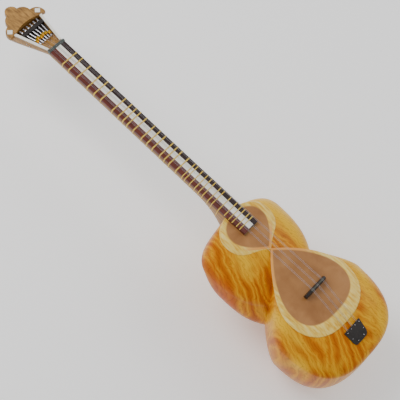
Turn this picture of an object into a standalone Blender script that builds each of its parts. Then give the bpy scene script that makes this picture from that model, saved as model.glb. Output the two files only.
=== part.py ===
"""Persian tar: a long-necked lute with a waisted double bowl, lying on its back with the fingerboard level.

X is across the strings, +Y runs from the body to the head, +Z is up.
Sizes are in metres. The part is drawn with the nut at y = 0 and the fingerboard's top at z = 0,
and is then set down so that the middle of its footprint is the origin.
"""
from math import atan, cos, log2, pi, radians, sin

import bmesh
import bpy
import numpy as np
from mathutils import Matrix, Vector

# Driving sizes
STRING_LENGTH = 0.650  # nut to bridge
GAP = 0.0003  # between pieces that touch
BOARD_HALF = 0.0187
BOARD_THICK = 0.0060
BOARD_END = -0.4955
BONE_SHIFT = 0.0012
BONE_WIDTH = 0.0125
BONE_THICK = 0.0032
BONE_END = -0.4936
NUT_BACK = -0.0045
NUT_FRONT = 0.0015
NUT_HALF = 0.0198
NUT_TOP = 0.0012
FACE_Z = -0.0075  # top of the bowls' wooden rims
SKIN_THICK = 0.0005
SKIRT_SHARE = 0.56  # of the flank's first ring
WALL = 0.0070
RIM_THICK = 0.0060
STRING_RADIUS = 0.00025
FRET_WIDTH = 0.0024
FRET_THICK = 0.0006
FRET_CENTS = (99, 144, 206, 288, 344, 399, 500, 557, 601, 642, 703, 788, 848, 909, 996, 1050, 1108, 1200, 1285,
              1324, 1397, 1470, 1533, 1596, 1690, 1756, 1879, 2000, 2091, 2167, 2268, 2348)
TIED_FRETS = 27  # the rest lie on the board's end, over the skin

# Bowl shapes: half width, apex length and tail length at the face and lower down, and where they turn in
LARGE = {"face": (0.0758, 0.1103, 0.0611), "deep": (0.1163, 0.1203, 0.1224), "y": (-0.6570, -0.6857),
         "power": ((1.8, 2.3), (1.5, 2.8)), "shoulder": 0.0440, "depth": 0.1971, "round": 2.67,
         "lean": -0.0155, "apex": 1}
SMALL = {"face": (0.0512, 0.0581, 0.0394), "deep": (0.1008, 0.1563, 0.0560), "y": (-0.4866, -0.5046),
         "power": ((1.8, 2.2), (2.88, 2.63)), "shoulder": 0.0552, "depth": 0.1434, "round": 2.97,
         "lean": -0.0645, "apex": -1}
LARGE_HOLE = {"size": (0.0693, 0.1049, 0.0509), "y": -0.6577, "power": (1.75, 2.6), "apex": 1}
SMALL_HOLE = {"size": (0.0420, 0.0509, 0.0330), "y": -0.4890, "power": (1.81, 2.34), "apex": -1}
HALF_POINTS = 16

# Neck
NECK_DEPTH = 0.0250
NECK_GROWTH = 0.0167  # extra depth for each metre of length
HEEL_START = -0.380
HEEL_END = -0.449
HEEL_DEPTH = 0.0400
NECK_ROUND = 2.3

# Head, in its own tilted plane: u across, v towards the crest, w up
HEAD_TILT = radians(12.5)
HEAD_ORIGIN = (0, NUT_FRONT + GAP + 0.0010, -0.0020)
HEAD_HALF = 0.0183
HEAD_SPREAD = 0.256  # extra half width for each metre towards the crest
WELL_HALF = 0.0138
WELL_SPREAD = 0.243
WELL_FLOOR = -0.0186
WELL_END = 0.0770
BONE_EDGE = 0.0020
CREST_START = 0.0700
CREST_THICK = 0.0080
CREST_REBATE = 0.0004
HEAD_TIP = 0.0840
CREST_TIP = 0.1260
INLAY_SIDE = 0.0096
INLAY_PLACE = (0.0364, 0.0803)
INLAY_DEPTH = 0.0015

# Tuners
SCREW_SPREAD = 0.0078
SCREW_W = -0.0040
SCREW_RADIUS = 0.0013
SCREW_CLEAR = 0.0003
SCREW_TIP = 0.0200
FLANGE_RADIUS = 0.0028
FLANGE_THICK = 0.0015
KEY_HALF = 0.0013
KEY_LENGTH = 0.0060
BLOCK_START = 0.0535
BLOCK_END = 0.0615
BLOCK_TOP = -0.0010
BED_START = 0.0250
BED_TOP = -0.0075
HOOK_PLACES = (0.0298, 0.0338, 0.0317, 0.0338, 0.0325, 0.0290)
HOOK_HALF = 0.0026
HOOK_LENGTH = 0.0070
HOOK_POST = 0.0022
SIDE_SCREWS = ((0.0440, -0.0110), (0.0385, -0.0150), (0.0285, -0.0150))
SIDE_SCREW_RADIUS = 0.0015
SIDE_SCREW_BITE = 0.0050

# Bridge and tailpiece
BRIDGE_Y = -0.6525
BRIDGE_HALF = 0.0279
BRIDGE_TOP = 0.0115
SADDLE_HALF = 0.0180
SADDLE_TOP = 0.0137
COURSES_NUT = 0.0110
COURSES_BRIDGE = 0.0140
COURSES_TAIL = 0.0130
PAIR_HALF = 0.0012
PLATE_TOP_Y = -0.7470
PLATE_END_Y = -0.7790
PLATE_HALF = (0.0215, 0.0190)
PLATE_THICK = 0.0018
PIN_RADIUS = 0.0009

ANGLE = 0.6


def clear_scene():
    """Takes every object out of the scene."""
    for thing in list(bpy.data.objects):
        bpy.data.objects.remove(thing, do_unlink=True)


def material(name, colour, roughness, metallic=0.0):
    """A plain Principled material."""
    made = bpy.data.materials.new(name)
    made.use_nodes = True
    shader = made.node_tree.nodes["Principled BSDF"]
    shader.inputs["Base Color"].default_value = (*colour, 1)
    shader.inputs["Roughness"].default_value = roughness
    shader.inputs["Metallic"].default_value = metallic
    return made


def add(name, mesh, look=None, place=None):
    """Puts a mesh into the scene as a named object, or as a hidden cutter where it has no look."""
    made = bpy.data.objects.new(name, mesh)
    bpy.context.collection.objects.link(made)
    if place is not None:
        made.matrix_world = place
    if look is None:
        made.hide_render = True
        made.display_type = "WIRE"
    else:
        mesh.materials.append(look)
    return made


def finish(work, name, smooth):
    """Turns a bmesh into a mesh with its faces out."""
    bmesh.ops.recalc_face_normals(work, faces=work.faces)
    mesh = bpy.data.meshes.new(name)
    work.to_mesh(mesh)
    work.free()
    if smooth:
        mesh.shade_smooth()
        mesh.set_sharp_from_angle(angle=ANGLE)
    return mesh


def loft(name, rings, look=None, place=None, closed=False, smooth=True, split=None):
    """A skin through rings of points, with flat ends, or joined end to start when closed.

    With split set, each four-sided face is cut in two. Where split is "mirror", the cuts on the left of the
    centre line are mirror images of those on the right, so that nested surfaces have the same facets.
    """
    work = bmesh.new()
    made = [[work.verts.new(p) for p in ring] for ring in rings]
    count = len(made[0])
    pairs = list(zip(made, made[1:]))
    if closed:
        pairs.append((made[-1], made[0]))
    else:
        work.faces.new(made[0])
        work.faces.new(made[-1])
    for low, high in pairs:
        for i in range(count):
            j = (i + 1) % count
            corners = (low[i], low[j], high[j], high[i])
            if split is None:
                work.faces.new(corners)
            elif split == "mirror" and low[i].co.x + low[j].co.x < 0:
                work.faces.new((corners[0], corners[1], corners[3]))
                work.faces.new((corners[1], corners[2], corners[3]))
            else:
                work.faces.new((corners[0], corners[1], corners[2]))
                work.faces.new((corners[0], corners[2], corners[3]))
    return add(name, finish(work, name, smooth), look, place)


def prism(name, outline, low, high, look=None, place=None, along="Z"):
    """An outline pulled straight through a thickness, along Z or along Y."""
    if along == "Z":
        rings = [[(x, y, level) for x, y in outline] for level in (low, high)]
    else:
        rings = [[(x, level, z) for x, z in outline] for level in (low, high)]
    return loft(name, rings, look, place, smooth=False)


def box(name, low, high, look=None, place=None):
    """A block between two corners."""
    outline = [(low[0], low[1]), (high[0], low[1]), (high[0], high[1]), (low[0], high[1])]
    return prism(name, outline, low[2], high[2], look, place)


def rod(name, start, end, radius, sides=10, look=None, place=None):
    """A round bar between two points."""
    a, b = Vector(start), Vector(end)
    turn = (b - a).to_track_quat("Z", "Y").to_matrix()
    circle = [turn @ Vector((radius * cos(2 * pi * i / sides), radius * sin(2 * pi * i / sides), 0))
              for i in range(sides)]
    return loft(name, [[a + p for p in circle], [b + p for p in circle]], look, place)


def change(thing, operation, other):
    """Adds an exact Boolean with another object."""
    step = thing.modifiers.new(operation.lower(), "BOOLEAN")
    step.operation = operation
    step.solver = "EXACT"
    step.object = other


def merged(name, things):
    """Puts several cutters or additions into one hidden object."""
    work = bmesh.new()
    for thing in things:
        copy = thing.data.copy()
        copy.transform(thing.matrix_world)
        work.from_mesh(copy)
        bpy.data.objects.remove(thing, do_unlink=True)
    mesh = bpy.data.meshes.new(name)
    work.to_mesh(mesh)
    work.free()
    return add(name, mesh)


def teardrop(t, size, power):
    """Right half of a teardrop, t from 0 at its apex to 1 at its tail: x, and y away from the tail."""
    width, apex, tail = size
    v = np.clip(1 - 2 * t, 0, 1)
    turn = np.clip(2 * t - 1, 0, 1) * pi / 2
    upper = t < 0.5
    x = np.where(upper, width * (1 - v ** power[0]), width * np.cos(turn) ** (2 / power[1]))
    y = np.where(upper, apex * v, -tail * np.sin(turn) ** (2 / power[1]))
    return np.maximum(x, 0), y


def bowl_outline(bowl, t, h, out=0.0):
    """Right half of a bowl's outline at depth h below its face, grown by out."""
    h = np.asarray(h, float)
    shoulder = bowl["shoulder"]
    e = 1 - (1 - np.clip(h / shoulder, 0, 1)) ** 2
    fall = np.clip((h - shoulder) / (bowl["depth"] + out - shoulder), 0, 1)
    g = (1 - fall ** bowl["round"]) ** (1 / bowl["round"])
    size = [(f + (d - f) * e + out) * g for f, d in zip(bowl["face"], bowl["deep"])]
    power = [f + (d - f) * e for f, d in zip(*bowl["power"])]
    centre = bowl["y"][0] + (bowl["y"][1] - bowl["y"][0]) * e + bowl["lean"] * fall
    x, y = teardrop(t, size, power)
    return x, centre + bowl["apex"] * y


def depths(bowl, top, out=0.0):
    """Depths of the rings of a bowl, close together at the bottom."""
    shoulder = bowl["shoulder"]
    flank = [top + (shoulder - top) * i / 5 for i in range(6)]
    belly = [shoulder + (bowl["depth"] + out - shoulder) * sin(pi / 2 * i / 8) for i in range(1, 8)]
    return flank + belly + [shoulder + (bowl["depth"] + out - shoulder) * 0.9985]


def half_bowl(name, bowl, side, look=None):
    """The outer form of one half of a bowl, cut just beside the centre line."""
    t = np.linspace(0, 1, HALF_POINTS)
    rings = []
    for h in depths(bowl, 0):
        x, y = bowl_outline(bowl, t, h)
        x = np.maximum(x, GAP / 2)
        rings.append([(side * a, b, FACE_Z - h) for a, b in zip(x, y)])
    return loft(name, rings, look, split="same")


def whole_rings(bowl, levels, out):
    """Closed rings of a whole bowl at the given depths."""
    t = np.linspace(0, 1, HALF_POINTS)
    rings = []
    for h in levels:
        x, y = bowl_outline(bowl, t, max(h, 0), out)
        right = [(a, b, FACE_Z - h) for a, b in zip(x, y)]
        left = [(-a, b, z) for a, b, z in right[-2:0:-1]]
        rings.append(right + left)
    return rings


def hole_outline(hole):
    """Outline of the opening under a skin."""
    t = np.linspace(0, 1, HALF_POINTS)
    x, y = teardrop(t, hole["size"], hole["power"])
    y = hole["y"] + hole["apex"] * y
    right = list(zip(x, y))
    return right + [(-a, b) for a, b in right[-2:0:-1]]


def make_bowls(wood):
    """Two carved halves, hollow, with an opening under each skin."""
    cutters = [loft("hollow_large", whole_rings(LARGE, depths(LARGE, RIM_THICK, -WALL), -WALL)),
               loft("hollow_small", whole_rings(SMALL, depths(SMALL, RIM_THICK, -WALL), -WALL)),
               prism("mouth_large", hole_outline(LARGE_HOLE), FACE_Z - 2 * RIM_THICK, FACE_Z + RIM_THICK),
               prism("mouth_small", hole_outline(SMALL_HOLE), FACE_Z - 2 * RIM_THICK, FACE_Z + RIM_THICK)]
    for name, side in (("bowl_left", -1), ("bowl_right", 1)):
        body = half_bowl(name, LARGE, side, wood)
        change(body, "UNION", half_bowl(name + "_small", SMALL, side))
        for cutter in cutters:
            change(body, "DIFFERENCE", cutter)


def skirt_share(t):
    """How far the skin folds down the first ring of the flank: little at the apex, most at the sides and tail."""
    rise = np.clip((t - 0.06) / 0.22, 0, 1)
    return 0.04 + SKIRT_SHARE * rise * rise * (3 - 2 * rise)


def make_skin(name, bowl, look):
    """A thin skin over the rim, folded down the flank along the flank's own facets."""
    t = np.linspace(0, 1, HALF_POINTS)
    drop = depths(bowl, 0)[1]
    low, high = GAP, GAP + SKIN_THICK
    fold = skirt_share(t)
    rings = []
    for folded, out in ((0, low), (1, low), (1, high), (0, high)):
        share = fold * folded
        x0, y0 = bowl_outline(bowl, t, 0, out)
        x1, y1 = bowl_outline(bowl, t, drop, out)
        x, y = x0 + (x1 - x0) * share, y0 + (y1 - y0) * share
        z = FACE_Z - drop * share + out
        right = [(a, b, c) for a, b, c in zip(x, y, z)]
        left = [(-a, b, c) for a, b, c in right[-2:0:-1]]
        rings.append(right + left)
    return loft(name, rings, look, split="mirror")


def make_skins(look):
    """Both skins, trimmed where the bowls meet and round the neck."""
    large = make_skin("skin_large", LARGE, look)
    small = make_skin("skin_small", SMALL, look)
    out = 2 * GAP + SKIN_THICK
    for skin, other, name in ((large, SMALL, "trim_large"), (small, LARGE, "trim_small")):
        levels = [-0.002] + depths(other, 0, out)
        change(skin, "DIFFERENCE", loft(name, whole_rings(other, levels, out), split="mirror"))
    half = BOARD_HALF + GAP
    face_end = SMALL["y"][0] + SMALL["face"][2]
    edge = face_end - 0.0024
    under = FACE_Z + GAP / 2
    outline = [(face_end - 0.006, -0.05), (face_end + 0.02, -0.05), (face_end + 0.02, 0), (edge, 0), (edge, under),
               (face_end - 0.006, under)]
    notch = loft("heel_notch", [[(x, y, z) for y, z in outline] for x in (-half, half)], smooth=False)
    change(small, "DIFFERENCE", notch)


def neck_depth(y):
    """Depth of the neck below the board."""
    heel = np.clip((HEEL_START - y) / (HEEL_START - HEEL_END), 0, 1.4)
    return NECK_DEPTH + NECK_GROWTH * -min(y, 0) + HEEL_DEPTH * heel ** 2


def neck_arc(y, out=0.0, points=11):
    """Underside of the neck at y, from the left edge round to the right edge."""
    top = -BOARD_THICK - GAP
    path = []
    for i in range(points):
        turn = pi * i / (points - 1)
        x = -(BOARD_HALF + out) * np.sign(cos(turn)) * abs(cos(turn)) ** (2 / NECK_ROUND)
        z = top - (neck_depth(y) + out) * abs(sin(turn)) ** (2 / NECK_ROUND)
        path.append((float(x), float(z)))
    return path


def make_neck(wood):
    """The neck with its heel, ended on the small bowl's flank and on the head's tilted face."""
    rings = []
    for y in (-0.478, -0.462, -0.449, -0.440, -0.430, -0.420, -0.410, -0.400, -0.385, -0.340, -0.200, -0.100):
        rings.append([(x, y, z) for x, z in neck_arc(y)])
    slope = sin(HEAD_TILT) / cos(HEAD_TILT)
    end = HEAD_ORIGIN[1] - GAP / cos(HEAD_TILT)
    rings.append([(x, end + (z - HEAD_ORIGIN[2]) * slope, z) for x, z in neck_arc(0)])
    neck = loft("neck", rings, wood)
    levels = [-0.004] + depths(SMALL, 0, GAP)
    change(neck, "DIFFERENCE", loft("heel_seat", whole_rings(SMALL, levels, GAP), split="mirror"))
    return neck


def make_board(dark, bone):
    """The fingerboard with its bone strip let into the top."""
    start = NUT_BACK - GAP
    board = box("fingerboard", (-BOARD_HALF, BOARD_END, -BOARD_THICK), (BOARD_HALF, start, 0), dark)
    half = BONE_WIDTH / 2
    change(board, "DIFFERENCE", box("bone_channel", (BONE_SHIFT - half - GAP, BONE_END - GAP, -BONE_THICK - GAP),
                                    (BONE_SHIFT + half + GAP, start + 0.01, 0.01)))
    box("bone_strip", (BONE_SHIFT - half, BONE_END, -BONE_THICK), (BONE_SHIFT + half, start, 0), bone)
    return board


def fret_place(cents):
    """Where a fret lies for a note this many cents above the open string."""
    return -STRING_LENGTH * (1 - 2 ** (-cents / 1200))


def make_frets(neck, board):
    """Gut frets tied round the neck, and short ones on the board's end, each bedded in what carries it."""
    bed = -BOARD_THICK - GAP / 2
    hoops = []
    for cents in FRET_CENTS[:TIED_FRETS]:
        middle = fret_place(cents)
        rings = []
        for side, out, sunk in ((-1, GAP, -GAP), (-1, GAP + FRET_THICK, FRET_THICK), (1, GAP + FRET_THICK, FRET_THICK),
                                (1, GAP, -GAP)):
            place = middle + side * FRET_WIDTH / 2
            edge = BOARD_HALF + out
            ring = [(-edge, out), (-edge, bed)] + neck_arc(place, sunk, 11)[1:-1] + [(edge, bed), (edge, out)]
            rings.append([(x, place, z) for x, z in ring])
        hoops.append(loft("hoop", rings, closed=True))
    change(neck, "UNION", merged("tied_frets", hoops))
    pieces = []
    a, b, drop = BOARD_HALF - GAP, BOARD_HALF + FRET_THICK, -0.0025
    outline = [(-b, drop), (-a, drop), (-a, -GAP), (BONE_SHIFT - BONE_WIDTH / 2 - 2 * GAP, -GAP),
               (BONE_SHIFT - BONE_WIDTH / 2 - 2 * GAP, GAP), (BONE_SHIFT + BONE_WIDTH / 2 + 2 * GAP, GAP),
               (BONE_SHIFT + BONE_WIDTH / 2 + 2 * GAP, -GAP), (a, -GAP), (a, drop), (b, drop), (b, GAP + FRET_THICK),
               (-b, GAP + FRET_THICK)]
    for cents in FRET_CENTS[TIED_FRETS:]:
        y = fret_place(cents)
        pieces.append(prism("short", outline, y - FRET_WIDTH / 2, y + FRET_WIDTH / 2, along="Y"))
    change(board, "UNION", merged("short_frets", pieces))


def make_nut(horn):
    """The nut, a little wider than the board, with a rounded top."""
    low = -BOARD_THICK
    middle = (NUT_BACK + NUT_FRONT) / 2
    outline = [(NUT_BACK, low), (NUT_FRONT, low), (NUT_FRONT, NUT_TOP - 0.0012), (middle + 0.0012, NUT_TOP),
               (middle - 0.0012, NUT_TOP), (NUT_BACK, NUT_TOP - 0.0008)]
    rings = [[(x, y, z) for y, z in outline] for x in (-NUT_HALF, NUT_HALF)]
    return loft("nut", rings, horn, smooth=False)


def head_matrix():
    """From the head's own plane into the part's frame."""
    return Matrix.Translation(HEAD_ORIGIN) @ Matrix.Rotation(-HEAD_TILT, 4, "X")


def head_half(v):
    """Outer half width of the head at v."""
    return HEAD_HALF + HEAD_SPREAD * v


def well_half(v):
    """Inner half width of the head's well at v."""
    return WELL_HALF + WELL_SPREAD * v


def side_screws(radius, tip, name, look=None):
    """Round bars at the places of the bed's fixing screws, from the outer wall inwards."""
    bars = []
    for side in (-1, 1):
        for v, w in SIDE_SCREWS:
            outer = head_half(v) + tip
            inner = well_half(v) - SIDE_SCREW_BITE - max(tip, 0) / 4
            bars.append(rod("%s_%d" % (name, len(bars) + 1), (side * inner, v, w), (side * outer, v, w), radius, 8,
                            look, head_matrix()))
    return bars


def make_head(wood, bone, steel):
    """The head: a tapered trough, its bone edges and the fixing screws of the tuner bed."""
    rings = []
    for v, depth, power in ((0, 0.0250, 2.3), (0.020, 0.0275, 2.8), (0.045, 0.0310, 3.4), (0.065, 0.0340, 3.8),
                            (0.078, 0.0355, 3.8), (HEAD_TIP, 0.0320, 3.4)):
        half = head_half(min(v, 0.078)) - max(v - 0.078, 0) * 0.25
        ring = []
        for i in range(13):
            turn = pi * i / 12
            x = -half * np.sign(cos(turn)) * abs(cos(turn)) ** (2 / power)
            z = -BONE_EDGE - GAP - (depth - BONE_EDGE) * abs(sin(turn)) ** (2 / power)
            ring.append((float(x), v, float(z)))
        rings.append(ring)
    head = loft("head_box", rings, wood, head_matrix())
    floor = ((0.003, -0.0045), (0.021, -0.0082), (BED_START - 2 * GAP, -0.0082), (BED_START - GAP, WELL_FLOOR),
             (WELL_END, WELL_FLOOR))
    well = []
    for v, w in floor:
        half = well_half(v)
        well.append([(-half, v, w), (half, v, w), (half, v, 0.01), (-half, v, 0.01)])
    change(head, "DIFFERENCE", loft("well", well, place=head_matrix()))
    seat_level = CREST_REBATE - CREST_THICK - GAP
    seat = box("crest_seat", (-0.06, CREST_START - GAP, seat_level), (0.06, 0.1, 0.01), place=head_matrix())
    change(head, "DIFFERENCE", seat)
    holes = merged("side_bores", side_screws(SIDE_SCREW_RADIUS + GAP, 0.004, "bore"))
    change(head, "DIFFERENCE", holes)
    start, end = 0.001, CREST_START - GAP
    for name, side in (("head_bone_left", -1), ("head_bone_right", 1)):
        outline = [(side * well_half(start), start), (side * head_half(start), start),
                   (side * head_half(end), end), (side * well_half(end), end)]
        prism(name, outline, -BONE_EDGE, 0, bone, head_matrix())
    side_screws(SIDE_SCREW_RADIUS, -0.0002, "bed_screw", steel)
    return holes


def arc(a, b, bulge, count):
    """Points of a round arc from a to b that stands out by bulge on the right-hand side of the way."""
    a, b = Vector(a), Vector(b)
    chord = b - a
    half = chord.length / 2
    radius = (half * half + bulge * bulge) / (2 * bulge)
    out = Vector((chord.y, -chord.x)).normalized()
    centre = (a + b) / 2 + out * (bulge - radius)
    first = a - centre
    angle = 2 * np.arcsin(min(1, half / abs(radius)))
    turned = []
    for i in range(count):
        share = angle * i / count
        turned.append(centre + Vector((first.x * cos(share) - first.y * sin(share),
                                       first.x * sin(share) + first.y * cos(share))))
    return [(p.x, p.y) for p in turned]


def make_crest(wood, bone):
    """The scalloped crest plate over the head's end, with two bone lozenges let in."""
    start = CREST_START
    root, claw = (0.0383, start), (0.0455, start - 0.0015)
    notch, dip, tip = (0.0282, 0.0925), (0.0128, 0.1115), (0.0, CREST_TIP)
    right = [(0.0308, start), root] + arc(claw, notch, 0.0075, 7) + arc(notch, dip, 0.0050, 6)
    right += arc(dip, tip, 0.0042, 5)
    left = [(-x, y) for x, y in right[::-1]]
    mouth = [(-0.0308 + 0.0616 * i / 9, start + 0.0065 * (1 - (2 * i / 9 - 1) ** 2)) for i in range(1, 9)]
    plate = prism("crest_plate", right + [tip] + left + mouth, -CREST_THICK, 0, wood, head_matrix())
    rebate_low, rebate_high = (-0.06, 0, -2 * CREST_THICK), (0.06, HEAD_TIP + GAP, CREST_REBATE - CREST_THICK)
    change(plate, "DIFFERENCE", box("crest_rebate", rebate_low, rebate_high, place=head_matrix()))
    for name, side in (("left", -1), ("right", 1)):
        u, v = side * INLAY_PLACE[0], INLAY_PLACE[1]
        for grow, low, high in ((0, -INLAY_DEPTH + GAP, 0), (GAP, -INLAY_DEPTH, 0.01)):
            reach = INLAY_SIDE / 2 ** 0.5 + grow * 2 ** 0.5
            outline = [(u + reach, v), (u, v + reach), (u - reach, v), (u, v - reach)]
            if grow:
                change(plate, "DIFFERENCE", prism("pocket_" + name, outline, low, high, place=head_matrix()))
            else:
                prism("crest_inlay_" + name, outline, low, high, bone, head_matrix())


def screw_offset(index):
    """Sideways place of a tuner at the bed's block, counted from the left."""
    return SCREW_SPREAD * (index - 2.5)


def screw_matrix(index, v):
    """A tuner's own frame: origin on its axis at v, +Y along the screw towards the crest."""
    offset = screw_offset(index)
    slope = offset * 0.45 / 0.056
    u = offset * 0.55 + slope * v
    return (head_matrix() @ Matrix.Translation((u, v, SCREW_W)) @ Matrix.Rotation(-atan(slope), 4, "Z"))


def make_bed(dark, holes):
    """The tuner bed: a base block with an upright that the six screws turn in."""
    outline = []
    for v in (BED_START, BLOCK_END):
        half = well_half(v) - GAP
        outline.append((half, v))
    outline = outline + [(-x, y) for x, y in outline[::-1]]
    bed = prism("tuner_bed", outline, WELL_FLOOR + GAP, BLOCK_TOP, dark, head_matrix())
    change(bed, "DIFFERENCE", box("step", (-0.05, BED_START - 0.01, BED_TOP), (0.05, BLOCK_START, 0.01),
                                  place=head_matrix()))
    bores = []
    for i in range(6):
        bores.append(rod("bore", (0, -0.006, 0), (0, 0.014, 0), SCREW_RADIUS + SCREW_CLEAR, 12,
                         place=screw_matrix(i, BLOCK_START)))
    change(bed, "DIFFERENCE", merged("screw_bores", bores))
    change(bed, "DIFFERENCE", holes)


def make_screw(index, steel):
    """A lead screw with its thrust flange and square key end; it turns about its own +Y."""
    origin = BLOCK_END
    tip = SCREW_TIP - origin
    seat = GAP + FLANGE_RADIUS * abs(screw_offset(index)) * 0.45 / 0.056
    top = seat + FLANGE_THICK
    stations = [(tip, 0.0009, False), (tip + 0.0006, SCREW_RADIUS, False), (seat, SCREW_RADIUS, False),
                (seat, FLANGE_RADIUS, False), (top, FLANGE_RADIUS, False), (top, KEY_HALF, True),
                (top + KEY_LENGTH, KEY_HALF, True)]
    rings = []
    for y, reach, square in stations:
        ring = []
        for i in range(8):
            turn = 2 * pi * i / 8
            grow = 1 / max(abs(cos(turn)), abs(sin(turn))) if square else 1
            ring.append((reach * grow * cos(turn), y, reach * grow * sin(turn)))
        rings.append(ring)
    return loft("tuner_screw_%d" % (index + 1), rings, steel, screw_matrix(index, origin))


def make_hook(index, brass):
    """A brass traveller on its screw, with a post for the string's loop."""
    half, bore = HOOK_HALF, SCREW_RADIUS + SCREW_CLEAR
    rings = []
    for y, inner in ((-1, True), (-1, False), (1, False), (1, True)):
        ring = []
        for i in range(8):
            turn = 2 * pi * i / 8
            reach = bore if inner else half / max(abs(cos(turn)), abs(sin(turn)))
            ring.append((reach * cos(turn), y * HOOK_LENGTH / 2, reach * sin(turn)))
        rings.append(ring)
    place = screw_matrix(index, HOOK_PLACES[index])
    hook = loft("string_hook_%d" % (index + 1), rings, brass, place, closed=True, smooth=False)
    post = box("post_%d" % (index + 1), (-0.0010, -HOOK_LENGTH / 2, half - 0.0008),
               (0.0010, -HOOK_LENGTH / 2 + 0.0022, half + HOOK_POST), place=place)
    change(hook, "UNION", post)


def flank_depth(x, y):
    """Depth below the face of the large bowl's tail flank under the point x, y."""
    low, high = 0.0, LARGE["shoulder"]
    for _ in range(40):
        h = (low + high) / 2
        e = 1 - (1 - h / LARGE["shoulder"]) ** 2
        width, _, tail = [f + (d - f) * e for f, d in zip(LARGE["face"], LARGE["deep"])]
        power = LARGE["power"][0][1] + (LARGE["power"][1][1] - LARGE["power"][0][1]) * e
        centre = LARGE["y"][0] + (LARGE["y"][1] - LARGE["y"][0]) * e
        if (abs(x) / width) ** power + (abs(y - centre) / tail) ** power > 1:
            low = h
        else:
            high = h
    return high


def plate_outline():
    """Outline of the tailpiece: square at the strings' end, round at the far corners."""
    top, end = PLATE_HALF
    points = [(end, PLATE_END_Y + 0.008), (top, PLATE_TOP_Y), (0, PLATE_TOP_Y), (-top, PLATE_TOP_Y),
              (-end, PLATE_END_Y + 0.008)]
    for i in range(7):
        turn = pi * i / 6
        x = -(end - 0.001) * abs(cos(turn)) ** 0.5 * np.sign(cos(turn))
        points.append((float(x), PLATE_END_Y + 0.006 - 0.006 * sin(turn)))
    return points


def make_tailpiece(dark, steel):
    """A thin plate bent over the tail flank, with the pins that hold it and the strings."""
    outline = plate_outline()
    middle = (0, (PLATE_TOP_Y + PLATE_END_Y) / 2)
    rings = []
    for share, rise in ((0.1, 0), (0.55, 0), (1, 0), (1, 1), (0.55, 1), (0.1, 1)):
        ring = []
        for x, y in outline:
            a, b = x * share, middle[1] + (y - middle[1]) * share
            ring.append((a, b, FACE_Z - flank_depth(a, b) + 2 * GAP + rise * PLATE_THICK))
        rings.append(ring)
    plate = loft("tailpiece", rings, dark)
    bores = []
    places = [(-0.0165, -0.7515), (0.0165, -0.7515), (-0.0055, -0.7505), (0.0055, -0.7505),
              (-0.0155, -0.7650), (0.0155, -0.7650), (-0.0080, -0.7740), (0.0080, -0.7740)]
    for number, (x, y) in enumerate(places, 1):
        z = FACE_Z - flank_depth(x, y) + 3 * GAP
        rod("tailpiece_pin_%d" % number, (x, y, z), (x, y, z + PLATE_THICK + 0.0012), PIN_RADIUS, 8, steel)
        bores.append(rod("hole", (x, y, z - 0.004), (x, y, z + 0.008), PIN_RADIUS + GAP, 8))
    change(plate, "DIFFERENCE", merged("pin_holes", bores))


def make_bridge(horn, bone):
    """The bridge: two feet with rounded lobes, an arch between them and a pale saddle on top."""
    foot = FACE_Z + 2 * GAP + SKIN_THICK
    half, top = BRIDGE_HALF, BRIDGE_TOP
    right = [(0.0080, foot + 0.0040), (0.0130, foot + 0.0010), (0.0150, foot), (half - 0.0020, foot),
             (half, foot + 0.0030), (half, foot + 0.0090), (half - 0.0020, foot + 0.0130),
             (SADDLE_HALF + 0.0020, top - 0.0010), (SADDLE_HALF, top)]
    outline = [(0, foot + 0.0060)] + right + [(-x, z) for x, z in right[::-1]]
    rings = []
    for y, grow in ((-0.0040, 0), (0.0040, 0)):
        rings.append([(x, BRIDGE_Y + y * (1 if z < foot + 0.008 else 0.5), z) for x, z in outline])
    loft("bridge", rings, horn, smooth=False)
    low = BRIDGE_TOP + GAP
    rings = []
    for x in (-SADDLE_HALF + 0.001, SADDLE_HALF - 0.001):
        rings.append([(x, BRIDGE_Y - 0.0016, low), (x, BRIDGE_Y + 0.0016, low), (x, BRIDGE_Y + 0.0006, SADDLE_TOP),
                      (x, BRIDGE_Y - 0.0006, SADDLE_TOP)])
    loft("bridge_saddle", rings, bone, smooth=False)


def tube(name, points, look):
    """A string: a round curve through points, with closed ends."""
    curve = bpy.data.curves.new(name, "CURVE")
    curve.dimensions = "3D"
    curve.bevel_depth = STRING_RADIUS
    curve.bevel_resolution = 1
    curve.use_fill_caps = True
    line = curve.splines.new("POLY")
    line.points.add(len(points) - 1)
    for point, place in zip(line.points, points):
        point.co = (*place, 1)
    made = bpy.data.objects.new(name, curve)
    bpy.context.collection.objects.link(made)
    curve.materials.append(look)


def course_place(index, spacing):
    """Sideways place of a string in its pair, the three pairs spacing apart."""
    pair = index // 2 - 1
    return pair * spacing + (PAIR_HALF if index % 2 else -PAIR_HALF)


def make_string(index, look):
    """A string from the tailpiece over the bridge to the nut, and its end from the nut to its hook."""
    rest = GAP + STRING_RADIUS
    tail = course_place(index, COURSES_TAIL)
    tail_y = PLATE_TOP_Y - 0.0012
    tail_z = FACE_Z - flank_depth(tail, tail_y) + 2 * GAP + PLATE_THICK + rest + GAP
    nut = course_place(index, COURSES_NUT)
    tube("string_%d" % (index + 1), [(tail, tail_y, tail_z), (course_place(index, COURSES_BRIDGE), BRIDGE_Y,
         SADDLE_TOP + rest), (nut, (NUT_BACK + NUT_FRONT) / 2, NUT_TOP + rest), (nut, NUT_FRONT, NUT_TOP + rest)], look)
    place = screw_matrix(index, HOOK_PLACES[index])
    hold = place @ Vector((0, -HOOK_LENGTH / 2 - GAP - STRING_RADIUS, HOOK_HALF + HOOK_POST - 2 * GAP))
    start = Vector((nut, NUT_FRONT + 2 * GAP, NUT_TOP + rest - GAP))
    tube("string_end_%d" % (index + 1), [tuple(start), tuple(start.lerp(hold, 0.5)), tuple(hold)], look)


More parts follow.
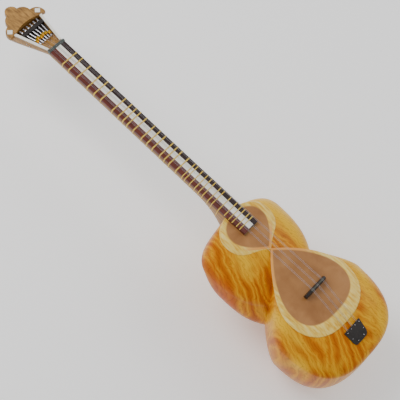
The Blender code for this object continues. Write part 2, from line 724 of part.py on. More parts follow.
def set_down():
    """Moves everything so that the middle of the footprint is the origin."""
    bpy.context.view_layer.update()
    graph = bpy.context.evaluated_depsgraph_get()
    low, high = np.full(3, 9.0), np.full(3, -9.0)
    for thing in bpy.data.objects:
        if thing.hide_render:
            continue
        mesh = thing.evaluated_get(graph).to_mesh()
        for vertex in mesh.vertices:
            place = np.array(thing.matrix_world @ vertex.co)
            low, high = np.minimum(low, place), np.maximum(high, place)
    shift = Vector((-(low[0] + high[0]) / 2, -(low[1] + high[1]) / 2, -low[2]))
    for thing in bpy.data.objects:
        thing.matrix_world = Matrix.Translation(shift) @ thing.matrix_world
    return shift


def main():
    clear_scene()
    wood = material("mulberry", (0.72, 0.40, 0.06), 0.25)
    neck_wood = material("neck_wood", (0.42, 0.24, 0.09), 0.4)
    dark = material("dark_wood", (0.13, 0.035, 0.025), 0.4)
    black = material("black", (0.02, 0.018, 0.016), 0.4)
    skin = material("skin", (0.38, 0.17, 0.07), 0.4)
    bone = material("bone", (0.9, 0.88, 0.82), 0.35)
    horn = material("horn", (0.06, 0.065, 0.06), 0.35)
    steel = material("steel", (0.6, 0.6, 0.62), 0.25, 1.0)
    brass = material("brass", (0.85, 0.55, 0.12), 0.3, 1.0)
    make_bowls(wood)
    make_skins(skin)
    make_frets(make_neck(neck_wood), make_board(dark, bone))
    make_nut(horn)
    holes = make_head(neck_wood, bone, steel)
    make_crest(neck_wood, bone)
    make_bed(black, holes)
    for index in range(6):
        make_screw(index, steel)
        make_hook(index, brass)
        make_string(index, steel)
    make_tailpiece(black, steel)
    make_bridge(horn, bone)
    return set_down()


SHIFT = main()
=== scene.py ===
"""Looks of the persian tar: its woods, skins, bone, gut and metal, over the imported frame."""

from math import cos, pi, sin

import bmesh
import bpy
import numpy as np
from mathutils import Matrix, Vector


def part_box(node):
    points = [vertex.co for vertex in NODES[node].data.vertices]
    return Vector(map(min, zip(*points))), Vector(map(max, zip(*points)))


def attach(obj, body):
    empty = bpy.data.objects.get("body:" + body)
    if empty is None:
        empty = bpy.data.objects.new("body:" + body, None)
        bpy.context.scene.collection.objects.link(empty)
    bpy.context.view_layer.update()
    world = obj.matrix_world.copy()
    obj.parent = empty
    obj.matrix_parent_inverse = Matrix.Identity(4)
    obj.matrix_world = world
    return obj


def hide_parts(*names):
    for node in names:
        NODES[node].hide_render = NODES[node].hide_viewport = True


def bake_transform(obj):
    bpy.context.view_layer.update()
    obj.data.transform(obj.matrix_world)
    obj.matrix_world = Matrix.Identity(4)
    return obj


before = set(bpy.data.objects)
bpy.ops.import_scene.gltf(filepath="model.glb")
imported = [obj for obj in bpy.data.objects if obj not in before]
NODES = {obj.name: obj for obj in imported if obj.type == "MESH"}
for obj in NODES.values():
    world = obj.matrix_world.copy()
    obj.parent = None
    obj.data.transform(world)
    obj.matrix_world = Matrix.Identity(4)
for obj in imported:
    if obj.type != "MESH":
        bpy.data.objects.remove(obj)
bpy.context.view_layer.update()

# Places taken from the frame: the nut's line in the middle of the neck, level with the board's top
ROOT = "instrument"
NUT_FROM_STRIP = 0.0048
STRIP_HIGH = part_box("bone_strip")[1]
ORIGIN = Vector((0, STRIP_HIGH[1] + NUT_FROM_STRIP, STRIP_HIGH[2]))

# Camera, in metres from the origin above, its roll in radians and its lens in picture widths
CAMERA_AT = Vector((-1.042859, -0.649673, 2.104636))
CAMERA_TO = Vector((-0.030168, -0.394330, 0.0))
CAMERA_ROLL = -0.818
CAMERA_LENS = 1300 / 400
CAMERA_REACH = 20

# Studio
FLOOR_HALF = 6.0
FLOOR_LEVEL = -0.002
FLOOR_GLOW = 0.25
SKY_GLOW = 0.55
LAMPS_AIM = Vector((0, -0.15, 0.1))
KEY_LAMP = {"at": (-0.6, 1.2, 2.0), "size": 1.2, "power": 30}
FILL_LAMP = {"at": (1.6, -0.6, 1.6), "size": 1.5, "power": 12}

# Driving dimensions of the part, in metres from the origin above; y runs towards the head
CLEARANCE = 0.0003
FACE = -0.0075
SKIN = 0.0005
STRING_LENGTH = 0.650
STRING_RADIUS = 0.00024
STRINGS = 6
END_RING = 0.0006  # how much of a CAD string's end counts as its end ring

# Board
BOARD_HALF = 0.0187
BOARD_THICK = 0.0060
BOARD_START = -0.0048
BOARD_END = -0.4955
BOARD_EASE = 0.0006
STRIP_PLACE = 0.0012
STRIP_HALF = 0.00625
GROOVE_DEEP = 0.0012
GROOVE_ROOM = 0.0001

# Neck: its depth at the nut, what each metre adds, and the heel that swells towards the bowl
NECK_START = 0.0012
NECK_END = -0.4980
NECK_ROUND = 2.3
NECK_DEPTH = 0.0250
NECK_GROWTH = 0.0167
HEEL_START = -0.380
HEEL_LENGTH = 0.069
HEEL_DEPTH = 0.0400
HEEL_MOST = 1.4

# Frets: their places in cents above the open string, and the gut that they are wound from
FRET_CENTS = (99, 144, 206, 288, 344, 399, 500, 557, 601, 642, 703, 788, 848, 909, 996, 1050, 1108,
              1200, 1285, 1324, 1397, 1470, 1533, 1596, 1690, 1756, 1879, 2000, 2091, 2167, 2268, 2348)
OCTAVE = 1200
TIED_FRETS = 27
FOUR_TURN_FRETS = 18
GUT_RADIUS = 0.0003
GUT_STEP = 0.00062
GUT_INSET = 0.0004
GUT_BEND = -0.0006
GUT_SIDE_END = -0.0040
GUT_SHORT_END = -0.0020

# Bowls and the openings in their faces: half width, apex length and tail length of each teardrop
LARGE = {"face": (0.0758, 0.1103, 0.0611), "deep": (0.1163, 0.1203, 0.1224), "y": (-0.6570, -0.6857),
         "power": ((1.8, 2.3), (1.5, 2.8)), "shoulder": 0.0440, "depth": 0.1971, "round": 2.67,
         "lean": -0.0155, "apex": 1}
SMALL = {"face": (0.0512, 0.0581, 0.0394), "deep": (0.1008, 0.1563, 0.0560), "y": (-0.4866, -0.5046),
         "power": ((1.8, 2.2), (2.88, 2.63)), "shoulder": 0.0552, "depth": 0.1434, "round": 2.97,
         "lean": -0.0645, "apex": -1}
LARGE_HOLE = {"size": (0.0693, 0.1049, 0.0509), "y": -0.6577, "power": (1.75, 2.6), "apex": 1}
SMALL_HOLE = {"size": (0.0420, 0.0509, 0.0330), "y": -0.4890, "power": (1.81, 2.34), "apex": -1}
COVER_SHARES = (0.02, 0.5, 0.97)
LOWEST_SHARE = 0.99995

# Skins: the skirt's drop and where round the bowl it grows, how far the skin stands off, its pale fold
SKIRT_REACH = 0.0045
SKIRT_LEAST = 0.10
SKIRT_FROM = 0.06
SKIRT_OVER = 0.30
BAND_LIFT = 0.0006
BAND_THINS = 0.6
TUCK = -0.0006
EDGE_DIP = 0.0004
PALE_FROM = 0.16
PALE_OVER = 0.16

# Relief of the grain, and how finely the pieces are drawn
RELIEF = 0.0005
ROUND_POINTS = 64
SHOULDER_ROWS = 24
BELLY_ROWS = 34
HOLLOW_ROWS = 18
EDGE_ROWS = 9
SKIRT_ROWS = 13
NECK_ROWS = 90
NECK_POINTS = 49
BOARD_ROWS = 40
FRET_TOP_POINTS = 8
FRET_BACK_POINTS = 25
GUT_SIDES = 6
STRING_SIDES = 10
STRING_ROWS = 25
END_CORNERS = 8  # a face with this many corners or more is an end face and is shaded flat


def colour(red, green, blue):
    """A colour from 0 to 255 screen values, as the linear values a shader takes.

    Each value is divided by 255. Above 10 it then has 0.055 added, is divided by 1.055 and raised to the
    power 2.4; up to 10 it is divided by 12.92.
    """
    screen = (red, green, blue)
    return [((v / 255 + 0.055) / 1.055) ** 2.4 if v > 10 else v / 255 / 12.92 for v in screen] + [1]


class Shader:
    """A material's node tree with short calls for the nodes used here."""

    def __init__(self, name, roughness, metallic=0.0):
        self.material = bpy.data.materials.new(name)
        self.material.use_nodes = True
        self.tree = self.material.node_tree
        self.base = self.tree.nodes["Principled BSDF"]
        self.base.inputs["Roughness"].default_value = roughness
        self.base.inputs["Metallic"].default_value = metallic
        self.place = self.tree.nodes.new("ShaderNodeTexCoord").outputs["Object"]

    def join(self, source, node, name):
        """Links an output to a node's named input."""
        self.tree.links.new(source, node.inputs[name])

    def stretched(self, scale, turn=(0, 0, 0), shift=(0, 0, 0)):
        """The place on the part, scaled, turned and shifted."""
        node = self.tree.nodes.new("ShaderNodeMapping")
        node.inputs["Scale"].default_value = scale
        node.inputs["Rotation"].default_value = turn
        node.inputs["Location"].default_value = shift
        self.join(self.place, node, "Vector")
        return node.outputs["Vector"]

    def noise(self, place, scale, detail, distortion=0.0):
        """Cloudy values from 0 to 1."""
        node = self.tree.nodes.new("ShaderNodeTexNoise")
        node.inputs["Scale"].default_value = scale
        node.inputs["Detail"].default_value = detail
        node.inputs["Distortion"].default_value = distortion
        self.join(place, node, "Vector")
        return node.outputs["Fac"]

    def wave(self, place, scale, distortion, detail):
        """Wavy bands from 0 to 1."""
        node = self.tree.nodes.new("ShaderNodeTexWave")
        node.inputs["Scale"].default_value = scale
        node.inputs["Distortion"].default_value = distortion
        node.inputs["Detail"].default_value = detail
        node.inputs["Detail Scale"].default_value = 1.2
        self.join(place, node, "Vector")
        return node.outputs["Fac"]

    def ramp(self, factor, stops):
        """A colour by the factor, from stops that each have a position and a colour."""
        node = self.tree.nodes.new("ShaderNodeValToRGB")
        line = node.color_ramp
        while len(line.elements) < len(stops):
            line.elements.new(0.5)
        for element, (at, tint) in zip(line.elements, stops):
            element.position = at
            element.color = tint
        self.join(factor, node, "Fac")
        return node.outputs["Color"]

    def mix(self, factor, a, b, way="MIX"):
        """a where the factor is 0 and b where it is 1; each is an output or a fixed colour."""
        node = self.tree.nodes.new("ShaderNodeMix")
        node.data_type = "RGBA"
        node.blend_type = way
        if isinstance(factor, float):
            node.inputs[0].default_value = factor
        else:
            self.tree.links.new(factor, node.inputs[0])
        for number, value in ((6, a), (7, b)):
            if isinstance(value, list):
                node.inputs[number].default_value = value
            else:
                self.tree.links.new(value, node.inputs[number])
        return node.outputs[2]

    def compare(self, way, value, limit):
        """1 where the value is on the side of the limit that way says, and 0 elsewhere."""
        node = self.tree.nodes.new("ShaderNodeMath")
        node.operation = way
        node.inputs[1].default_value = limit
        self.tree.links.new(value, node.inputs[0])
        return node.outputs[0]

    def spread(self, value, low, high):
        """The value moved from the span low..high to 0..1, smoothly and within those limits."""
        node = self.tree.nodes.new("ShaderNodeMapRange")
        node.interpolation_type = "SMOOTHSTEP"
        node.inputs["From Min"].default_value = low
        node.inputs["From Max"].default_value = high
        self.join(value, node, "Value")
        return node.outputs["Result"]

    def across(self):
        """How far across the strings the place is, positive to the right."""
        node = self.tree.nodes.new("ShaderNodeSeparateXYZ")
        self.join(self.place, node, "Vector")
        return node.outputs["X"]

    def bump(self, height, strength):
        """Relief from a height between 0 and 1."""
        node = self.tree.nodes.new("ShaderNodeBump")
        node.inputs["Strength"].default_value = strength
        node.inputs["Distance"].default_value = RELIEF
        self.join(height, node, "Height")
        self.join(node.outputs["Normal"], self.base, "Normal")

    def paint(self, tint):
        """Makes an output the surface's colour."""
        self.join(tint, self.base, "Base Color")

    def attribute(self, name):
        """The value that the mesh itself holds under this name."""
        node = self.tree.nodes.new("ShaderNodeAttribute")
        node.attribute_name = name
        return node.outputs["Fac"]


def mulberry():
    """Varnished mulberry: amber and yellow figure, its two halves cut from different blocks."""
    wood = Shader("mulberry_wood", roughness=0.28)
    left = wood.compare("LESS_THAN", wood.across(), 0.0)
    right_block = wood.stretched((9, 5, 3.0), (0.25, 0.1, 0.5))
    left_block = wood.stretched((8, 5, 3.2), (0.35, -0.1, -0.6), (3.1, 1.7, 0.4))
    place = wood.mix(left, left_block, right_block)
    figure = wood.wave(place, scale=1.6, distortion=9.0, detail=3)
    lines = wood.wave(place, scale=7.5, distortion=14.0, detail=4)
    patches = wood.noise(place, scale=1.1, detail=3, distortion=0.6)
    tint = wood.ramp(figure, [(0.0, colour(186, 98, 0)), (0.45, colour(214, 134, 0)),
                              (0.75, colour(228, 160, 4)), (1.0, colour(200, 118, 0))])
    pale = wood.spread(patches, low=0.50, high=0.68)
    tint = wood.mix(pale, tint, colour(240, 188, 34))
    ember = wood.spread(patches, low=0.44, high=0.30)
    tint = wood.mix(ember, tint, colour(192, 88, 0))
    white = [1, 1, 1, 1]
    fine = wood.ramp(lines, [(0.0, [0.62, 0.50, 0.38, 1]), (0.22, white), (1.0, white)])
    wood.paint(wood.mix(0.55, tint, fine, "MULTIPLY"))
    wood.base.inputs["Specular IOR Level"].default_value = 0.12
    wood.bump(lines, strength=0.08)
    return wood.material


def neck_wood():
    """Oiled neck wood, golden brown at the crest and along the neck."""
    wood = Shader("neck_wood", roughness=0.4)
    grain = wood.noise(wood.stretched((90, 6, 90)), scale=3.0, detail=5)
    wood.paint(wood.ramp(grain, [(0.3, colour(120, 84, 40)), (0.6, colour(176, 130, 66)),
                                 (0.8, colour(196, 150, 84))]))
    wood.bump(grain, strength=0.15)
    return wood.material


def board_wood():
    """Dark fingerboard: red-brown on the left of the bone strip and near black on the right."""
    wood = Shader("board_wood", roughness=0.38)
    grain = wood.noise(wood.stretched((160, 8, 160)), scale=4.0, detail=5)
    red = wood.ramp(grain, [(0.3, colour(66, 20, 14)), (0.7, colour(112, 44, 28))])
    black = wood.ramp(grain, [(0.3, colour(26, 12, 12)), (0.7, colour(52, 26, 24))])
    right = wood.compare("GREATER_THAN", wood.across(), 0.001)
    wood.paint(wood.mix(right, red, black))
    wood.bump(grain, strength=0.2)
    return wood.material


def lambskin():
    """Lambskin: brown and a little cloudy over the hollow, peach over the rim, pale where it is folded."""
    skin = Shader("lambskin", roughness=0.36)
    clouds = skin.noise(skin.place, scale=28.0, detail=5, distortion=0.4)
    veins = skin.noise(skin.stretched((60, 9, 60)), scale=4.0, detail=4)
    hollow = skin.ramp(clouds, [(0.25, colour(146, 96, 50)), (0.6, colour(172, 120, 70)),
                                (0.85, colour(184, 134, 84))])
    rim = skin.ramp(clouds, [(0.3, colour(226, 150, 66)), (0.7, colour(238, 172, 92))])
    band = skin.ramp(veins, [(0.3, colour(216, 160, 40)), (0.5, colour(240, 202, 90)),
                             (0.8, colour(252, 230, 150))])
    tint = skin.mix(skin.attribute("rim"), hollow, rim)
    skin.paint(skin.mix(skin.attribute("fold"), tint, band))
    skin.base.inputs["Specular IOR Level"].default_value = 0.3
    skin.bump(clouds, strength=0.12)
    return skin.material


def grained(name, tint, other, roughness, scale, metallic=0.0, strength=0.1):
    """A fine-grained surface between two close colours, given as screen values."""
    made = Shader(name, roughness, metallic)
    grain = made.noise(made.place, scale, detail=5)
    made.paint(made.ramp(grain, [(0.3, colour(*tint)), (0.7, colour(*other))]))
    made.bump(grain, strength)
    return made.material


def quads(rows, columns, closed_along, closed_across):
    """Four-sided faces over a grid of points that are numbered row by row.

    Each face takes a point, its neighbour in the row, and the same two in the next row. In a closed
    direction the first line of points comes again after the last one.
    """
    index = np.arange(rows * columns).reshape(rows, columns)
    if closed_along:
        index = np.concatenate([index, index[:1]])
    if closed_across:
        index = np.concatenate([index, index[:, :1]], axis=1)
    corners = [index[:-1, :-1], index[:-1, 1:], index[1:, 1:], index[1:, :-1]]
    return np.stack(corners, axis=-1).reshape(-1, 4)


def close_ends(made):
    """Closes each open ring of a mesh with a flat face and turns every face outwards."""
    work = bmesh.new()
    work.from_mesh(made.data)
    edges = [edge for edge in work.edges if edge.is_boundary]
    if edges:
        bmesh.ops.holes_fill(work, edges=edges)
    bmesh.ops.recalc_face_normals(work, faces=work.faces)
    for face in work.faces:
        face.smooth = len(face.verts) < END_CORNERS
    work.to_mesh(made.data)
    work.free()


def new_piece(name, points, faces, look, body):
    """A closed piece with these points and faces, riding on a body where one is given."""
    mesh = bpy.data.meshes.new(name)
    mesh.from_pydata(points.tolist(), [], faces.tolist())
    mesh.update()
    mesh.materials.append(look)
    made = bpy.data.objects.new(name, mesh)
    bpy.context.collection.objects.link(made)
    close_ends(made)
    if body:
        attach(made, body)
    return made


def surface(name, grid, look, body=ROOT):
    """A closed piece over a grid of points: each row is joined into a ring, and its end rings are filled."""
    faces = quads(*grid.shape[:2], closed_along=False, closed_across=True)
    return new_piece(name, grid.reshape(-1, 3), faces, look, body)


def grid_of(x, y, z):
    """Three arrays of places from the nut's line, spread to one shape, as points in the part's frame."""
    return np.stack(np.broadcast_arrays(x, y, z), axis=-1) + np.array(ORIGIN)


def smooth(value):
    """0 below 0, 1 above 1, and in between three times the square less twice the cube."""
    value = np.clip(value, 0, 1)
    return value * value * (3 - 2 * value)


def teardrop(t, size, power):
    """Half a teardrop from its apex, t 0, by its widest place, t 0.5, to its tail, t 1.

    Above the widest place the half width falls with a power of the height. Below it the outline is a
    superellipse: the half width times a power of the cosine, and the tail's length times the same power
    of the sine.
    """
    width, apex, tail = size
    high = np.clip(1 - 2 * t, 0, 1)
    turn = np.clip(2 * t - 1, 0, 1) * pi / 2
    upper = t < 0.5
    x = np.where(upper, width * (1 - high ** power[0]), width * np.cos(turn) ** (2 / power[1]))
    y = np.where(upper, apex * high, -tail * np.sin(turn) ** (2 / power[1]))
    return x, y


def bowl_outline(bowl, t, drop, out=0.0):
    """The bowl's half outline at a drop below its face; t is as in teardrop, drop and out may be arrays.

    Down to the shoulder it widens from the face's outline to the deep one, by one less the square of the
    share of the way that is left. Below the shoulder it shrinks to a point at the full depth as a
    superellipse does, while its centre leans along the bowl. out moves the surface outwards.
    """
    ease = 1 - (1 - np.clip(drop / bowl["shoulder"], 0, 1)) ** 2
    fall = np.clip((drop - bowl["shoulder"]) / (bowl["depth"] + out - bowl["shoulder"]), 0, 1)
    girth = (1 - fall ** bowl["round"]) ** (1 / bowl["round"])
    size = [(f + (d - f) * ease + out) * girth for f, d in zip(bowl["face"], bowl["deep"])]
    power = [f + (d - f) * ease for f, d in zip(*bowl["power"])]
    centre = bowl["y"][0] + (bowl["y"][1] - bowl["y"][0]) * ease + bowl["lean"] * fall
    x, y = teardrop(t, size, power)
    return x, centre + bowl["apex"] * y


def around(apex):
    """t and side for every point round a bowl, once, anticlockwise from above.

    t goes from the apex, 0, down one side to the tail, 1, and back up the other. It follows one less the
    cosine of half a turn, halved, so that its steps are short at both ends. side is the sign of x, and
    keeps the way round the same for a bowl whose apex points the other way.
    """
    t = 0.5 - 0.5 * np.cos(pi * np.linspace(0, 1, ROUND_POINTS + 1))
    t = np.concatenate([t, t[-2:0:-1]])
    side = np.concatenate([-np.ones(ROUND_POINTS + 1), np.ones(ROUND_POINTS - 1)]) * apex
    return t, side


def make_bowl(name, bowl, look, hidden):
    """One bowl's outer wall, closed by a flat top under its skin and drawn together at its lowest point.

    The top is the face's outline at a few shares of its size. The wall's rings are bowl_outline at drops
    that have even steps to the shoulder and go on from there with the sine of a quarter turn.
    """
    t, side = around(bowl["apex"])
    middle = bowl["y"][0]
    x, y = bowl_outline(bowl, t, 0.0)
    share = np.array(COVER_SHARES)[:, None]
    cover = grid_of(x * side * share, middle + (y - middle) * share, FACE)

    shoulder = np.linspace(0, bowl["shoulder"], SHOULDER_ROWS)
    turn = np.linspace(0, pi / 2, BELLY_ROWS)[1:]
    belly = bowl["shoulder"] + (bowl["depth"] - bowl["shoulder"]) * np.minimum(np.sin(turn), LOWEST_SHARE)
    drop = np.concatenate([shoulder, belly])[:, None]
    x, y = bowl_outline(bowl, t, drop)
    wall = grid_of(x * side, y, FACE - drop)

    made = surface(name, np.concatenate([cover, wall]), look)
    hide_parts(hidden)


def make_skin(name, bowl, hole, look, hidden):
    """A skin: flat over the hollow and the rim, and folded down over the bowl's edge in a glued band.

    Over the hollow its rings are the opening's teardrop at shares of its size. Over the rim they go in
    even shares from the opening to the bowl's face, and dip by the cube of the share. The skirt follows
    bowl_outline down to a reach that grows from the apex towards the widest place, and its last ring is
    tucked into the wood. The mesh also holds two values for its colours: rim, which rises where the rim
    lies under the skin, and fold, which rises on the glued band and stays low over the rim at the apex.
    """
    t, side = around(bowl["apex"])
    top = FACE + SKIN
    middle = hole["y"]
    inner_x, inner_y = teardrop(t, hole["size"], hole["power"])
    inner_y = middle + hole["apex"] * inner_y
    outer_x, outer_y = bowl_outline(bowl, t, 0.0, BAND_LIFT)
    pale = smooth((t - PALE_FROM) / PALE_OVER)

    share = np.linspace(0.01, 1, HOLLOW_ROWS)[:, None]
    hollow = grid_of(inner_x * share * side, middle + (inner_y - middle) * share, top)
    hollow_value = np.zeros(hollow.shape[:2])

    share = np.linspace(0, 1, EDGE_ROWS)[1:, None]
    edge = grid_of((inner_x + (outer_x - inner_x) * share) * side, inner_y + (outer_y - inner_y) * share,
                   top - EDGE_DIP * share ** 3)
    edge_rim = np.broadcast_to(smooth(share * 2), edge.shape[:2])
    edge_fold = smooth(share * 3) * pale

    share = np.linspace(0, 1, SKIRT_ROWS)[1:, None]
    reach = SKIRT_REACH * (SKIRT_LEAST + (1 - SKIRT_LEAST) * smooth((t - SKIRT_FROM) / SKIRT_OVER))
    x, y = bowl_outline(bowl, t, reach * share, BAND_LIFT * (1 - BAND_THINS * share))
    skirt = grid_of(x * side, y, FACE - reach * share)
    skirt_rim = np.ones(skirt.shape[:2])
    skirt_fold = np.maximum(smooth(share * 4), pale)

    x, y = bowl_outline(bowl, t, reach, TUCK)
    tuck = grid_of(x * side, y, FACE - reach)[None]
    tuck_value = np.ones(tuck.shape[:2])

    made = surface(name, np.concatenate([hollow, edge, skirt, tuck]), look)
    rim = np.concatenate([hollow_value, edge_rim, skirt_rim, tuck_value])
    fold = np.concatenate([hollow_value, edge_fold, skirt_fold, tuck_value])
    for word, values in (("rim", rim), ("fold", fold)):
        attribute = made.data.attributes.new(word, "FLOAT", "POINT")
        attribute.data.foreach_set("value", values.astype(np.float32).ravel())
    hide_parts(hidden)


def neck_depth(y):
    """How deep the neck is at y.

    It is the depth at the nut, and more in proportion to the way from there. Past the heel's start it
    also has the heel's depth times the square of the way, counted in heel lengths and up to HEEL_MOST.
    """
    heel = np.clip((HEEL_START - y) / HEEL_LENGTH, 0, HEEL_MOST)
    return NECK_DEPTH - NECK_GROWTH * np.minimum(y, 0) + HEEL_DEPTH * heel ** 2


def neck_arc(y, out, count):
    """x and z of the neck's half-round under the board at y, from the left edge to the right one.

    It is half a superellipse: the half width times a power of the cosine, and the depth less the board's
    thickness times the same power of the sine. out moves it outwards.
    """
    turn = np.linspace(0, pi, count)
    x = -(BOARD_HALF + out) * np.sign(np.cos(turn)) * np.abs(np.cos(turn)) ** (2 / NECK_ROUND)
    deep = neck_depth(y) - BOARD_THICK + out
    z = -BOARD_THICK - CLEARANCE - deep * np.abs(np.sin(turn)) ** (2 / NECK_ROUND)
    return x, z


def make_neck(look):
    """The neck's smooth back: neck_arc at even steps from the head to its foot in the small bowl."""
    y = np.linspace(NECK_START, NECK_END, NECK_ROWS)[:, None]
    x, z = neck_arc(y, 0.0, NECK_POINTS)
    made = surface("neck_back", grid_of(x, y, z), look)
    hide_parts("neck")


def make_board(look):
    """The fingerboard: a profile with eased edges and a groove for the bone strip, along the neck."""
    half, low = BOARD_HALF, -BOARD_THICK
    left, right = STRIP_PLACE - STRIP_HALF - GROOVE_ROOM, STRIP_PLACE + STRIP_HALF + GROOVE_ROOM
    inner = half - BOARD_EASE
    x = np.array([-half, -half, -inner, left, left, right, right, inner, half, half])
    z = np.array([low, -BOARD_EASE, 0, 0, -GROOVE_DEEP, -GROOVE_DEEP, 0, 0, -BOARD_EASE, low])
    y = np.linspace(BOARD_START, BOARD_END, BOARD_ROWS)[:, None]
    made = surface("board", grid_of(x, y, z), look)
    made.data.shade_flat()
    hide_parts("fingerboard")


def tube(path, radius, closed, sides):
    """Rings of points round a path that lies in one plane across the neck.

    At each point the path runs the way from the point before to the point after. The ring there is the
    direction across the path in its plane times the cosine, and the neck's direction times the sine,
    times the radius.
    """
    if closed:
        ahead, behind = np.roll(path, -1, axis=0), np.roll(path, 1, axis=0)
    else:
        ahead, behind = np.vstack([path[1:], path[-1:]]), np.vstack([path[:1], path[:-1]])
    run = ahead - behind
    run /= np.linalg.norm(run, axis=1)[:, None]
    across = np.stack([-run[:, 2], np.zeros(len(run)), run[:, 0]], axis=1)[:, None, :]
    turn = (np.arange(sides) * 2 * pi / sides)[:, None]
    ring = across * np.cos(turn) + np.array([0, 1, 0]) * np.sin(turn)
    return path[:, None, :] + ring * radius


def fret_path(y, tied):
    """The middle line of one turn of gut at y.

    A short fret lies across the board and ends at its sides. A tied one goes on round the neck's back
    along neck_arc and is closed.
    """
    edge = BOARD_HALF + GUT_RADIUS
    top_x = np.linspace(-BOARD_HALF + GUT_INSET, BOARD_HALF - GUT_INSET, FRET_TOP_POINTS)
    top_z = np.full(top_x.shape, GUT_RADIUS)
    if tied:
        back_x, back_z = neck_arc(y, GUT_RADIUS, FRET_BACK_POINTS)
        x = np.concatenate([top_x, [edge, edge], back_x[::-1], [-edge, -edge]])
        z = np.concatenate([top_z, [GUT_BEND, GUT_SIDE_END], back_z[::-1], [GUT_SIDE_END, GUT_BEND]])
    else:
        x = np.concatenate([[-edge, -edge], top_x, [edge, edge]])
        z = np.concatenate([[GUT_SHORT_END, GUT_BEND], top_z, [GUT_BEND, GUT_SHORT_END]])
    return np.stack([x, np.full(x.shape, y), z], axis=-1)


def make_frets(look):
    """Every fret as turns of gut laid side by side: four for most, three for the higher ones.

    Between a fret and the bridge lies the string's length divided by two to the power of its octaves.
    """
    points, faces, count = [], [], 0
    for number, cents in enumerate(FRET_CENTS):
        middle = -STRING_LENGTH * (1 - 2 ** (-cents / OCTAVE))
        tied = number < TIED_FRETS
        turns = 4 if number < FOUR_TURN_FRETS else 3
        for turn in range(turns):
            y = middle + (turn - (turns - 1) / 2) * GUT_STEP
            rings = tube(fret_path(y, tied), GUT_RADIUS, tied, GUT_SIDES)
            points.append(rings.reshape(-1, 3))
            faces.append(count + quads(*rings.shape[:2], closed_along=tied, closed_across=True))
            count += len(points[-1])
    points = np.concatenate(points) + np.array(ORIGIN)
    made = new_piece("gut_frets", points, np.concatenate(faces), look, ROOT)


def straight(start, end, radius):
    """Rings of points along a straight line.

    Each is one direction across the line times the cosine, and the other times the sine, times the
    radius.
    """
    run = (end - start) / np.linalg.norm(end - start)
    across = np.cross(run, (0, 0, 1))
    across /= np.linalg.norm(across)
    turn = (np.arange(STRING_SIDES) * 2 * pi / STRING_SIDES)[:, None]
    ring = (across * np.cos(turn) + np.cross(run, across) * np.sin(turn)) * radius
    share = np.linspace(0, 1, STRING_ROWS)[:, None, None]
    return start + (end - start) * share + ring


def make_string_ends(look):
    """The strings between the nut and the hooks, as fixed straight tubes; on the instrument they lengthen as
    the hooks travel.

    Each runs from the middle of its CAD solid's end ring at the nut to the middle of the one at its hook.
    """
    for number in range(1, STRINGS + 1):
        node = NODES["string_end_%d" % number]
        spots = np.empty(len(node.data.vertices) * 3, np.float32)
        node.data.vertices.foreach_get("co", spots)
        spots = spots.reshape(-1, 3).astype(float)
        y = spots[:, 1]
        near = spots[y < y.min() + END_RING].mean(axis=0)
        far = spots[y > y.max() - END_RING].mean(axis=0)
        made = surface("string_tail_%d" % number, straight(near, far, STRING_RADIUS), look, None)
        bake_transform(made)
        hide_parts(node.name)


def add_camera():
    """The photograph's camera."""
    forward = (CAMERA_TO - CAMERA_AT).normalized()
    right = forward.cross(Vector((0, 1, 0))).normalized()
    up = right.cross(forward)
    rolled_right = right * cos(CAMERA_ROLL) + up * sin(CAMERA_ROLL)
    rolled_up = up * cos(CAMERA_ROLL) - right * sin(CAMERA_ROLL)
    data = bpy.data.cameras.new("camera")
    data.lens = data.sensor_width * CAMERA_LENS
    data.clip_end = CAMERA_REACH
    made = bpy.data.objects.new("camera", data)
    turn = Matrix((rolled_right, rolled_up, -forward)).transposed().to_4x4()
    made.matrix_world = Matrix.Translation(CAMERA_AT + ORIGIN) @ turn
    bpy.context.collection.objects.link(made)
    bpy.context.scene.camera = made


def add_lamp(name, at, size, power):
    """A soft square lamp that faces the body."""
    data = bpy.data.lights.new(name, "AREA")
    data.size = size
    data.energy = power
    made = bpy.data.objects.new(name, data)
    made.location = at
    made.rotation_euler = (LAMPS_AIM - Vector(at)).to_track_quat("-Z", "Y").to_euler()
    bpy.context.collection.objects.link(made)


def add_studio():
    """A white floor, a bright even sky and two soft lamps."""
    white = (1, 1, 1, 1)
    half = FLOOR_HALF
    mesh = bpy.data.meshes.new("floor")
    mesh.from_pydata([(-half, -half, FLOOR_LEVEL), (half, -half, FLOOR_LEVEL), (half, half, FLOOR_LEVEL),
                      (-half, half, FLOOR_LEVEL)], [], [(0, 1, 2, 3)])
    floor = bpy.data.objects.new("floor", mesh)
    bpy.context.collection.objects.link(floor)
    paper = Shader("paper", roughness=0.9)
    paper.base.inputs["Base Color"].default_value = white
    paper.base.inputs["Emission Color"].default_value = white
    paper.base.inputs["Emission Strength"].default_value = FLOOR_GLOW
    mesh.materials.append(paper.material)
    world = bpy.data.worlds.new("sky")
    bpy.context.scene.world = world
    world.use_nodes = True
    background = world.node_tree.nodes["Background"]
    background.inputs["Color"].default_value = white
    background.inputs["Strength"].default_value = SKY_GLOW
    add_lamp("key", **KEY_LAMP)
    add_lamp("fill", **FILL_LAMP)


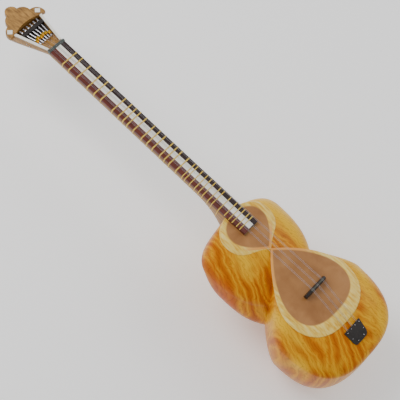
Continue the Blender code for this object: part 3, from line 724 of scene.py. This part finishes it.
def make_finishes():
    """Every finish of the part by its name, the woods and the skin first."""
    return {"mulberry": mulberry(),
            "neck_wood": neck_wood(),
            "board_wood": board_wood(),
            "skin": lambskin(),
            "bone": grained("bone", (236, 232, 216), (252, 250, 242), roughness=0.35, scale=90),
            "horn": grained("horn", (44, 52, 50), (82, 92, 86), roughness=0.35, scale=120),
            # Near black: the bridge's and tailpiece's own colour, and painted shade where it darkens the
            # tuner bed's deep well under the hooks
            "ebony_and_painted_shade": grained("ebony_and_painted_shade", (22, 18, 17), (40, 33, 30), roughness=0.42, scale=160),
            "steel": grained("steel", (150, 146, 150), (200, 198, 202), roughness=0.28, scale=400,
                             metallic=1.0, strength=0.05),
            "brass": grained("brass", (214, 158, 30), (250, 200, 70), roughness=0.28, scale=300,
                             metallic=1.0, strength=0.05),
            "gut": grained("gut", (232, 190, 60), (252, 222, 110), roughness=0.35, scale=500)}


def dress_nodes(finishes):
    """Gives each CAD node its own finish: brass for the hooks, and steel for what the list leaves out."""
    wanted = {"bowl_left": "mulberry", "bowl_right": "mulberry", "skin_large": "skin",
              "skin_small": "skin", "neck": "neck_wood", "fingerboard": "board_wood", "bone_strip": "bone",
              "nut": "horn", "head_box": "neck_wood", "head_bone_left": "bone", "head_bone_right": "bone",
              "crest_plate": "neck_wood", "crest_inlay_left": "bone", "crest_inlay_right": "bone",
              # The tuner bed takes the near-black finish as painted shade: a dark plate laid where the deep
              # well under the hooks lies in shade
              "tuner_bed": "ebony_and_painted_shade", "bridge": "ebony_and_painted_shade", "bridge_saddle": "horn", "tailpiece": "ebony_and_painted_shade"}
    for name, node in NODES.items():
        metal = "brass" if name.startswith("string_hook") else "steel"
        look = finishes[wanted.get(name, metal)]
        if node.data.materials:
            node.data.materials[0] = look
        else:
            node.data.materials.append(look)


finishes = make_finishes()
dress_nodes(finishes)
make_bowl("bowl_wood_large", LARGE, finishes["mulberry"], "bowl_left")
make_bowl("bowl_wood_small", SMALL, finishes["mulberry"], "bowl_right")
make_skin("skin_face_large", LARGE, LARGE_HOLE, finishes["skin"], "skin_large")
make_skin("skin_face_small", SMALL, SMALL_HOLE, finishes["skin"], "skin_small")
make_neck(finishes["neck_wood"])
make_board(finishes["board_wood"])
make_frets(finishes["gut"])
make_string_ends(finishes["steel"])
add_camera()
add_studio()
